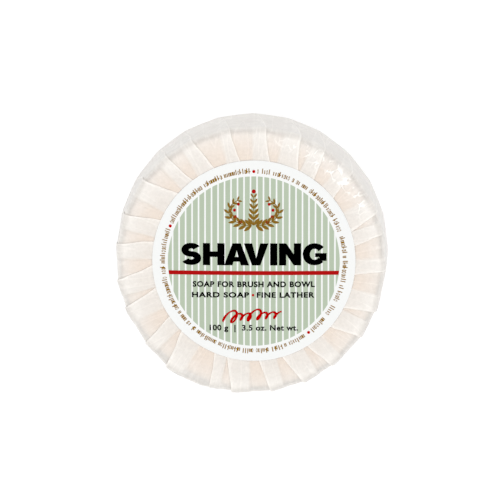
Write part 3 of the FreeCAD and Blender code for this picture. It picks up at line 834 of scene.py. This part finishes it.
def layOnLabel(piece, ink):
    # lays a piece of artwork, drawn flat round the label's centre, on the label's face
    mesh = piece.data
    shape = bmesh.new()
    shape.from_mesh(mesh)
    for cut in range(3):  # each round halves the edges that are still too long
        long = [edge for edge in shape.edges if edge.calc_length() > labelSet["artworkEdge"]]
        bmesh.ops.subdivide_edges(shape, edges=long, cuts=1, use_grid_fill=True)
    bmesh.ops.triangulate(shape, faces=shape.faces)
    flat = max(v.co.z for v in shape.verts) - min(v.co.z for v in shape.verts) < 1e-6
    if flat:
        bmesh.ops.reverse_faces(shape, faces=[face for face in shape.faces if face.normal.z < 0])
    shape.to_mesh(mesh)
    shape.free()
    low = min(v.co.z for v in mesh.vertices)
    tall = max(v.co.z for v in mesh.vertices) - low
    for v in mesh.vertices:
        share = (v.co.z - low) / tall if tall > 0 else 0
        x, y = v.co.x + labelCentre.x, v.co.y + labelCentre.y
        v.co = (x, y, labelSurface(x, y) + labelSet["inkThickness"] * (labelSet["inkClear"] + share))
    mesh.materials.clear()
    mesh.materials.append(inks[ink])
    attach(piece, "root")


def meshOf(source, name):
    # the finished mesh of a text or a curve, as a piece of its own
    depsgraph = bpy.context.evaluated_depsgraph_get()
    mesh = bpy.data.meshes.new_from_object(source.evaluated_get(depsgraph), depsgraph=depsgraph)
    bpy.data.objects.remove(source)
    return newPiece(name, mesh)


# generic words: text, ink, width, height of its capitals, height of its middle, boldness, letter spacing
wordSet = {
    "useLine": ("SOAP FOR BRUSH AND BOWL", "blackInk", 32.6 * mm, 1.58 * mm, -6.1 * mm, 0.038, 1.12),
    "latherLineLeft": ("HARD SOAP", "blackInk", 15.3 * mm, 1.5 * mm, -9.0 * mm, 0.038, 1.12, -8.85 * mm),
    "latherLineRight": ("FINE LATHER", "blackInk", 15.4 * mm, 1.5 * mm, -9.0 * mm, 0.038, 1.12, 8.5 * mm),
    "weightLine": ("100 g  |  3.5 oz. Net wt.", "blackInk", 23.6 * mm, 2.05 * mm, -18.2 * mm, 0.03, 1.08),
}


def makeWord(name, body, ink, width, tall, middle, boldness, spacing, across=0):
    curve = bpy.data.curves.new(name, "FONT")
    curve.body = body
    curve.size = 1
    curve.offset = boldness
    curve.space_character = spacing
    curve.extrude = 0.01
    curve.resolution_u = 6
    piece = meshOf(newPiece(name, curve), name)
    verts = piece.data.vertices
    left, right = min(v.co.x for v in verts), max(v.co.x for v in verts)
    foot, top = min(v.co.y for v in verts), max(v.co.y for v in verts)
    for v in verts:
        v.co.x = ((v.co.x - left) / (right - left) - 0.5) * width + across
        v.co.y = ((v.co.y - foot) / (top - foot) - 0.5) * tall + middle
    layOnLabel(piece, ink)


for name, values in wordSet.items():
    makeWord(name, *values)
print("words printed")

bigWordSet = {
    "letters": "SHAVING", "width": 38.8 * mm, "capHeight": 5.95 * mm, "middle": 2.0 * mm,
    "stem": 2.0 * mm, "bar": 1.5 * mm, "gap": 0.45 * mm,
    "widths": {"S": 5.6, "H": 6.0, "A": 6.9, "V": 6.8, "I": 2.0, "N": 6.1, "G": 6.6},  # mm
    "pairs": {"AV": -1.9, "HA": -0.55},  # mm closer together
}


def bentStroke(centre, radii, start, end, stem, bar, steps=28):
    # a thick elliptical arc as two rows of points, stem wide at its sides and bar wide at its top and bottom
    inner, outer = [], []
    for n in range(steps + 1):
        turn = math.radians(start + (end - start) * n / steps)
        c, d = math.cos(turn), math.sin(turn)
        half = math.hypot(stem * c, bar * d) / 2
        for row, side in ((inner, -1), (outer, 1)):
            row.append((centre[0] + (radii[0] + side * half) * c, centre[1] + (radii[1] + side * half) * d))
    return inner, outer


def makeBigWord(s):
    tall, stem, bar = s["capHeight"], s["stem"], s["bar"]
    verts, faces = [], []
    x = 0

    def plate(*corners):
        faces.append(tuple(range(len(verts), len(verts) + len(corners))))
        verts.extend((x + cx, cy, 0) for cx, cy in corners)

    def band(inner, outer):
        for n in range(len(inner) - 1):
            plate(inner[n], outer[n], outer[n + 1], inner[n + 1])

    for at, letter in enumerate(s["letters"]):
        wide = s["widths"][letter] * mm
        if letter in "HIN":
            plate((0, 0), (stem, 0), (stem, tall), (0, tall))
        if letter in "HN":
            plate((wide - stem, 0), (wide, 0), (wide, tall), (wide - stem, tall))
        if letter == "H":
            low, high = (tall - bar) / 2, (tall + bar) / 2
            plate((stem, low), (wide - stem, low), (wide - stem, high), (stem, high))
        if letter == "N":
            plate((stem, tall), (stem, tall - 1.5 * stem), (wide - stem, 0), (wide - stem, 1.5 * stem))
        if letter in "AV":
            foot, top = (0, tall) if letter == "A" else (tall, 0)
            slant = 1.15 * stem
            tip = wide / 2
            inside = foot + (top - foot) * (1 - 0.62 * stem / (wide / 2) * 0.9)
            left = ((0, foot), (slant, foot), (tip, inside), (tip, top), (tip - slant / 2, top))
            right = tuple((wide - cx, cy) for cx, cy in reversed(left))
            plate(*(left if letter == "A" else reversed(left)))
            plate(*(right if letter == "A" else reversed(right)))
        if letter == "A":
            low, high = 0.17 * tall, 0.17 * tall + bar * 0.85
            reach = [slant + (tip - slant) * y / inside for y in (low, high)]
            plate((reach[0], low), (wide - reach[0], low), (wide - reach[1], high), (reach[1], high))
        if letter == "S":
            rise = (tall - bar) / 4
            across = (wide - stem) / 2
            band(*bentStroke((wide / 2, tall / 2 + rise), (across * 0.94, rise), 28, 270, stem, bar))
            band(*reversed(bentStroke((wide / 2, tall / 2 - rise), (across, rise), 90, -152, stem, bar)))
        if letter == "G":
            across, rise = (wide - stem) / 2, (tall - bar) / 2
            band(*bentStroke((wide / 2, tall / 2), (across, rise), 38, 318, stem, bar, 44))
            shelf, foot, low, high = wide * 0.52, tall * 0.2, tall * 0.37, tall * 0.55
            plate((wide - stem, foot), (wide, foot), (wide, high), (wide - stem, high))
            plate((shelf, low), (wide - stem, low), (wide - stem, high), (shelf, high))
        x += wide + s["gap"] + s["pairs"].get(s["letters"][at:at + 2], 0) * mm
    x -= s["gap"]
    mesh = bpy.data.meshes.new("bigWord")
    placed = [((vx / x - 0.5) * s["width"], vy - tall / 2 + s["middle"], 0) for vx, vy, z in verts]
    mesh.from_pydata(placed, [], faces)
    layOnLabel(newPiece("bigWord", mesh), "blackInk")


makeBigWord(bigWordSet)
print("big word printed")

emblemSet = {
    "foot": 9.7 * mm,          # bottom of the two sprigs
    "reach": 6.3 * mm,         # how far each sprig bows out
    "rise": 7.6 * mm,
    "leaves": 9,
    "leafLength": 2.5 * mm,
    "leafWidth": 0.95 * mm,
    "leafSpread": 38.0,        # degrees from the stem
    "tipScale": 0.55,
    "stemWidth": 0.22 * mm,
    "stemGap": 0.35 * mm,      # between the two sprigs' middles
    "bow": (-88, 50),          # degrees round the bow, from foot to tip
    "middleLeaves": 6,
    "berry": 0.42 * mm,
    "berryIn": 0.78,           # the berries' bow, as a share of the sprig's
    "berryDown": 0.94,
    "topBerry": 0.42 * 1.3 * mm,
    "topBerryAt": 1.6 * mm,    # above the sprigs
}


def makeSprigTree(values):
    tree, known = newTree("leafSprig", values)
    # one leaf: a circle squeezed to a point at each end, with its foot at the origin
    circle = addNode(tree, "GeometryNodeMeshCircle", {"Vertices": 16, "Radius": 1.0}, fill_type="NGON")
    at = addNode(tree, "ShaderNodeSeparateXYZ", {0: addNode(tree, "GeometryNodeInputPosition").outputs[0]})
    known.update(leafX=at.outputs[0], leafY=at.outputs[1])
    known["index"] = addNode(tree, "GeometryNodeInputIndex").outputs[0]
    addFormulas(tree, known, [
        ("side", "leafY", "ABSOLUTE", "MULTIPLY", "leafY", "MULTIPLY", "Leaf Width", "MULTIPLY", 0.5),
        ("out", "leafX", "ADD", 1.0, "MULTIPLY", "Leaf Length", "MULTIPLY", 0.5),
        ("shaped", "out", "ShaderNodeCombineXYZ", "side", 0.0),
        ("against", "Spread", "MULTIPLY", -1.0),
        ("shrink", "Tip Scale", "SUBTRACT", 1.0),
        ("last", "Leaves", "SUBTRACT", 1.0),
        ("share", "index", "DIVIDE", "last"),
        ("size", "share", "MULTIPLY_ADD", "shrink", 1.0),
        ("halfStem", "Stem Width", "MULTIPLY", 0.5),
        ("start", "halfStem", "MULTIPLY", -1.0, "ShaderNodeCombineXYZ", 0.0, 0.0),
        ("end", "halfStem", "ShaderNodeCombineXYZ", 0.0, 0.0),
    ])
    leaf = addNode(tree, "GeometryNodeSetPosition", {
        "Geometry": circle.outputs[0], "Position": known["shaped"],
    })
    points = addNode(tree, "GeometryNodeCurveToPoints", {
        "Curve": known["Geometry"], "Count": known["Leaves"],
    }, mode="COUNT")
    tangent = points.outputs["Tangent"]
    ahead = addNode(tree, "FunctionNodeAlignRotationToVector", {"Vector": tangent}, axis="X")
    joined = addNode(tree, "GeometryNodeJoinGeometry")
    for lean in ("Spread", "against"):
        turn = addNode(tree, "ShaderNodeCombineXYZ", {2: known[lean]}).outputs[0]
        turned = addNode(tree, "FunctionNodeRotateRotation", {
            "Rotation": ahead.outputs[0], "Rotate By": turn,
        }, rotation_space="LOCAL")
        leaves = addNode(tree, "GeometryNodeInstanceOnPoints", {
            "Points": points.outputs[0], "Instance": leaf.outputs[0], "Rotation": turned.outputs[0],
            "Scale": known["size"],
        })
        tree.links.new(leaves.outputs[0], joined.inputs[0])
    ribbon = addNode(tree, "GeometryNodeCurvePrimitiveLine", {"Start": known["start"], "End": known["end"]})
    stem = addNode(tree, "GeometryNodeCurveToMesh", {
        "Curve": known["Geometry"], "Profile Curve": ribbon.outputs[0],
    })
    tree.links.new(stem.outputs[0], joined.inputs[0])
    return endTree(tree, joined, known["Material"])


def makeStroke(name, *lines):
    # flat poly curves, one through each row of points
    curve = bpy.data.curves.new(name, "CURVE")
    curve.dimensions = "3D"
    curve.twist_mode = "Z_UP"
    for points in lines:
        spline = curve.splines.new("POLY")
        spline.points.add(len(points) - 1)
        for n, (x, y) in enumerate(points):
            spline.points[n].co = (x, y, 0, 1)
    return newPiece(name, curve)


def makeDots(name, dots, ink):
    # round spots, each (x, y, radius)
    shape = bmesh.new()
    for x, y, radius in dots:
        place = Matrix.Translation((x, y, 0))
        bmesh.ops.create_circle(shape, cap_ends=True, segments=20, radius=radius, matrix=place)
    mesh = bpy.data.meshes.new(name)
    shape.to_mesh(mesh)
    shape.free()
    layOnLabel(newPiece(name, mesh), ink)


def makeEmblem(s):
    foot, reach, rise = s["foot"], s["reach"], s["rise"]
    berries = []
    sprigs = []
    for side in (-1, 1):
        points = []
        for n in range(25):
            turn = math.radians(s["bow"][0] + (s["bow"][1] - s["bow"][0]) * n / 24)
            across = side * (s["stemGap"] + reach * math.cos(turn))
            points.append((across, foot + rise * (0.5 + 0.5 * math.sin(turn))))
        sprigs.append(points)
        for x, y in points[7:24:5]:
            berries.append((x * s["berryIn"], foot + (y - foot) * s["berryDown"], s["berry"]))
    sprigs.append([(0, foot + 0.1 * mm + rise * 0.98 * n / 8) for n in range(9)])
    berries.append((0, foot + rise + s["topBerryAt"], s["topBerry"]))
    values = inputsOf(s, "Leaves", "Leaf Length", "Leaf Width", "Tip Scale", "Stem Width")
    values |= {"Spread": math.radians(s["leafSpread"]), "Material": inks["goldInk"]}
    tree = makeSprigTree(values)
    for number, points in enumerate(sprigs):
        values["Leaves"] = s["leaves"] if number < 2 else s["middleLeaves"]
        layOnLabel(applyTree(makeStroke("stem", points), tree, values, f"leafSprig{number + 1}"), "goldInk")
    makeDots("berries", berries, "berryInk")


makeEmblem(emblemSet)
print("emblem printed")

ringSet = {
    "radius": 24.2 * mm, "dotRadius": 0.42 * mm,
    "dotAt": (0, 142.8, 293), "dotClear": 2.6,      # degrees
    "wordDot": (-0.2 * mm, -9.05 * mm, 0.34 * mm),  # between two lines of words: across, up and radius
    "spacing": 0.60 * mm, "tall": 1.35 * mm, "short": 0.95 * mm, "stroke": 0.25 * mm, "width": 0.36 * mm,
    "gapShare": 0.16, "seed": 12,
}


def makeMarksTree(values):
    # small strokes and rings stood along the source's lines, in uneven groups, that spell nothing
    tree, known = newTree("printedMarks", values)
    addFormulas(tree, known, [
        ("seedTwo", "Seed", "ADD", 31.0),
        ("half", "Width", "MULTIPLY", 0.5),
        ("left", "half", "MULTIPLY", -1.0),
        ("middle", "Short", "MULTIPLY", 0.5),
        ("highMiddle", "Tall", "MULTIPLY", 0.5),
        ("down", "Short", "MULTIPLY", -0.5),
        ("down", 0.0, "ShaderNodeCombineXYZ", "down", 0.0),
        ("squash", "half", "DIVIDE", "middle", "ShaderNodeCombineXYZ", 1.0, 1.0),
        ("end", "Stroke", "MULTIPLY", 0.5),
        ("start", "end", "MULTIPLY", -1.0, "ShaderNodeCombineXYZ", 0.0, 0.0),
        ("end", "end", "ShaderNodeCombineXYZ", 0.0, 0.0),
    ])
    points = addNode(tree, "GeometryNodeCurveToPoints", {
        "Curve": known["Geometry"], "Length": known["Spacing"],
    }, mode="LENGTH")
    known["kept"] = addNode(tree, "FunctionNodeRandomValue", {
        2: 0.0, 3: 1.0, "Seed": known["Seed"],
    }, data_type="FLOAT").outputs[1]
    addFormulas(tree, known, [("kept", "kept", "GREATER_THAN", "Gap Share")])
    kind = addNode(tree, "FunctionNodeRandomValue", {
        4: 0, 5: 5, "Seed": known["seedTwo"],
    }, data_type="INT").outputs[2]
    loop = addNode(tree, "GeometryNodeCurvePrimitiveCircle", {"Resolution": 10, "Radius": known["middle"]})
    ribbon = addNode(tree, "GeometryNodeCurvePrimitiveLine", {"Start": known["start"], "End": known["end"]})
    ring = addNode(tree, "GeometryNodeCurveToMesh", {
        "Curve": loop.outputs[0], "Profile Curve": ribbon.outputs[0],
    })
    shapes = addNode(tree, "GeometryNodeJoinGeometry")
    # rows of (kind of stroke, place across, height)
    for strokes in (
        (("upright", "left", "Short"), ("upright", "half", "Short")),
        (("ring", 0.0, "Short"),),
        (("upright", 0.0, "Tall"),),
        (("upright", "left", "Tall"), ("level", 0.0, "Short")),
        (("ring", 0.0, "Short"), ("upright", "half", "Short")),
        (("upright", 0.0, "Short"),),
    ):
        mark = addNode(tree, "GeometryNodeJoinGeometry")
        for form, across, tall in strokes:
            bar = ring
            if form != "ring":
                sizes = ("Stroke", tall) if form == "upright" else ("Width", "Stroke")
                bar = addNode(tree, "GeometryNodeMeshGrid", {
                    "Size X": known[sizes[0]], "Size Y": known[sizes[1]], "Vertices X": 2, "Vertices Y": 2,
                })
            lift = known["middle" if tall == "Short" else "highMiddle"]
            up = addNode(tree, "ShaderNodeCombineXYZ", {0: known.get(across, 0.0), 1: lift})
            raised = addNode(tree, "GeometryNodeTransform", {
                "Geometry": bar.outputs[0], "Translation": up.outputs[0],
                "Scale": known["squash"] if form == "ring" else (1, 1, 1),
            })
            tree.links.new(raised.outputs[0], mark.inputs[0])
        dropped = addNode(tree, "GeometryNodeTransform", {
            "Geometry": mark.outputs[0], "Translation": known["down"],
        })
        one = addNode(tree, "GeometryNodeGeometryToInstance", {"Geometry": dropped.outputs[0]})
        tree.links.new(one.outputs[0], shapes.inputs[0])
    tangent = points.outputs["Tangent"]
    ahead = addNode(tree, "FunctionNodeAlignRotationToVector", {"Vector": tangent}, axis="X")
    marks = addNode(tree, "GeometryNodeInstanceOnPoints", {
        "Points": points.outputs[0], "Selection": known["kept"], "Instance": shapes.outputs[0],
        "Pick Instance": True, "Instance Index": kind, "Rotation": ahead.outputs[0],
    })
    return endTree(tree, marks, known["Material"])


def makeMarks(name, s, lines, ink):
    values = inputsOf(s, "Spacing", "Tall", "Short", "Width", "Stroke", "Gap Share", "Seed")
    values["Material"] = inks[ink]
    return applyTree(makeStroke(name, *lines), makeMarksTree(values), values, name)


def makeRing(s):
    arcs = []
    dots = []
    for at, turn in enumerate(s["dotAt"]):
        after = s["dotAt"][at + 1] if at + 1 < len(s["dotAt"]) else 360
        steps = 60
        first, last = turn + s["dotClear"], after - s["dotClear"]
        turns = [math.radians(first + (last - first) * n / steps) for n in range(steps + 1)]
        arcs.append([(s["radius"] * math.sin(a), s["radius"] * math.cos(a)) for a in turns])
        a = math.radians(turn)
        dots.append((s["radius"] * math.sin(a), s["radius"] * math.cos(a), s["dotRadius"]))
    layOnLabel(makeMarks("ringMarks", s, arcs, "brownInk"), "brownInk")
    dots.append(s["wordDot"])
    makeDots("redDots", dots, "redInk")


makeRing(ringSet)
print("ring printed")

flourishSet = {"left": -7.3 * mm, "right": 6.8 * mm, "middle": -14.8 * mm, "tall": 1.4 * mm, "loops": 6.5,
               "stroke": 0.30 * mm, "slant": 0.5, "lift": 0.8 * mm, "low": 0.62,
               "tallLoops": ((0.1, 0.07, 0.75), (0.53, 0.06, 0.7))}  # place, spread and extra height


def makeFlourish(s):
    # one pen stroke of slanting loops, two of them tall, with a tail
    points = []
    steps = 260
    for n in range(steps + 1):
        t = n / steps
        turn = 2 * math.pi * s["loops"] * t
        tall = s["low"]
        for at, spread, more in s["tallLoops"]:
            tall += more * math.exp(-((t - at) / spread) ** 2)
        tall *= s["tall"]
        y = tall * math.cos(turn + math.pi) + s["lift"] * (t - 0.5)
        x = s["left"] + (s["right"] - s["left"]) * t + 0.62 * tall * math.sin(turn + math.pi)
        points.append((x + s["slant"] * y, s["middle"] + y))
    source = makeStroke("flourish", points)
    source.data.bevel_depth = s["stroke"]
    source.data.bevel_resolution = 1
    source.data.use_fill_caps = True
    for n, point in enumerate(source.data.splines[0].points):
        point.radius = 0.65 + 0.45 * abs(math.sin(2 * math.pi * s["loops"] * n / steps + 0.5))
    layOnLabel(meshOf(source, "flourish"), "redInk")


makeFlourish(flourishSet)
print("flourish printed")

# The back label, which the puck lies on: the same coated paper, with a printed ring round a plain middle
backLook = labelLook | {"ringOuter": 23.2 * mm, "ringWidth": 1.2 * mm}


def makeBackLabelMaterial(s):
    material, tree = newMaterial("printedBackLabelPaper")
    place = addNode(tree, "ShaderNodeTexCoord").outputs["Object"]
    at = addNode(tree, "ShaderNodeSeparateXYZ", {0: place})
    known = addFormulas(tree, {"x": at.outputs[0], "y": at.outputs[1]}, [
        ("xx", "x", "MULTIPLY", "x"),
        ("r", "y", "MULTIPLY_ADD", "y", "xx", "SQRT"),
        ("fromRing", "r", "SUBTRACT", s["ringOuter"] - s["ringWidth"] / 2, "ABSOLUTE"),
    ])
    addPrintedEdges(tree, known, s["soften"], [("inRing", "fromRing", s["ringWidth"] / 2)])
    colour = addNode(tree, "ShaderNodeMix", {
        0: known["inRing"], 6: linearColour(s["paper"]), 7: linearColour(s["field"]),
    }, data_type="RGBA").outputs[2]
    endPaper(tree, s, place, colour)
    return material


backSet = {
    "rows": 11, "rowPitch": 2.9 * mm, "textRadius": 19.5 * mm, "below": 0.01 * mm,
    "spacing": 0.66 * mm, "tall": 1.7 * mm, "short": 1.15 * mm, "stroke": 0.2 * mm, "width": 0.58 * mm,
    "gapShare": 0.16, "seed": 23,
}


def makeBackPrint(s):
    # rows of marks across the back label, each as long as the circle leaves room for
    rows = []
    for n in range(s["rows"]):
        y = (n - (s["rows"] - 1) / 2) * s["rowPitch"]
        half = math.sqrt(s["textRadius"] ** 2 - y * y)
        rows.append([(-half, y), (half, y)])
    piece = makeMarks("backMarks", s, rows, "brownInk")
    for v in piece.data.vertices:
        v.co = (-v.co.x, v.co.y, backLow.z - s["below"])
    flipped = bmesh.new()
    flipped.from_mesh(piece.data)
    bmesh.ops.reverse_faces(flipped, faces=[face for face in flipped.faces if face.normal.z > 0])
    flipped.to_mesh(piece.data)
    flipped.free()
    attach(piece, "root")


dressNode("back_label", makeBackLabelMaterial(backLook))
dressNode("back_label_adhesive", glueMaterial)
makeBackPrint(backSet)
print("back label printed")

stageSet = {
    "floorSize": 4.0, "floor": "#A8A8A8", "floorGlow": 0.64, "floorGap": 0.02 * mm,
    "horizon": 0.41, "zenith": 0.85,
    "softboxAt": (-0.02, 0.02, 1.75), "softboxSize": 1.5, "softboxPower": 19.2,
    "glintLightAt": (0.23, 0.25, 0.66), "glintLightSize": 0.05, "glintLightPower": 0.09,
}


def makeStage(s):
    material, tree = newMaterial("paleFloor")
    endMaterial(tree, {
        "Base Color": linearColour(s["floor"]), "Roughness": 0.9,
        "Emission Color": (1, 1, 1, 1), "Emission Strength": s["floorGlow"],
    })
    half = s["floorSize"] / 2
    mesh = bpy.data.meshes.new("floor")
    corners = [(-half, -half, 0), (half, -half, 0), (half, half, 0), (-half, half, 0)]
    mesh.from_pydata(corners, [], [(0, 1, 2, 3)])
    mesh.materials.append(material)
    floor = newPiece("floor", mesh)
    floor.location.z = cadLow.z - s["floorGap"]
    world = bpy.data.worlds.new("studio")
    scene.world = world
    world.use_nodes = True
    world.node_tree.nodes.clear()
    sky = world.node_tree
    direction = addNode(sky, "ShaderNodeTexCoord").outputs["Generated"]
    toward = addNode(sky, "ShaderNodeSeparateXYZ", {0: direction})
    strength = addNode(sky, "ShaderNodeMapRange", {
        0: toward.outputs[2], 1: 0.0, 2: 1.0, 3: s["horizon"], 4: s["zenith"],
    })
    light = addNode(sky, "ShaderNodeBackground", {"Color": (1, 1, 1, 1), "Strength": strength.outputs[0]})
    addNode(sky, "ShaderNodeOutputWorld", {"Surface": light.outputs[0]})
    for name in ("softbox", "glintLight"):
        data = bpy.data.lights.new(name, "AREA")
        data.size, data.energy = s[name + "Size"], s[name + "Power"]
        lamp = newPiece(name, data)
        spot = Vector(s[name + "At"])
        lamp.location = spot
        lamp.rotation_euler = spot.to_track_quat("Z", "Y").to_euler()


makeStage(stageSet)
scene.view_settings.view_transform = "Standard"
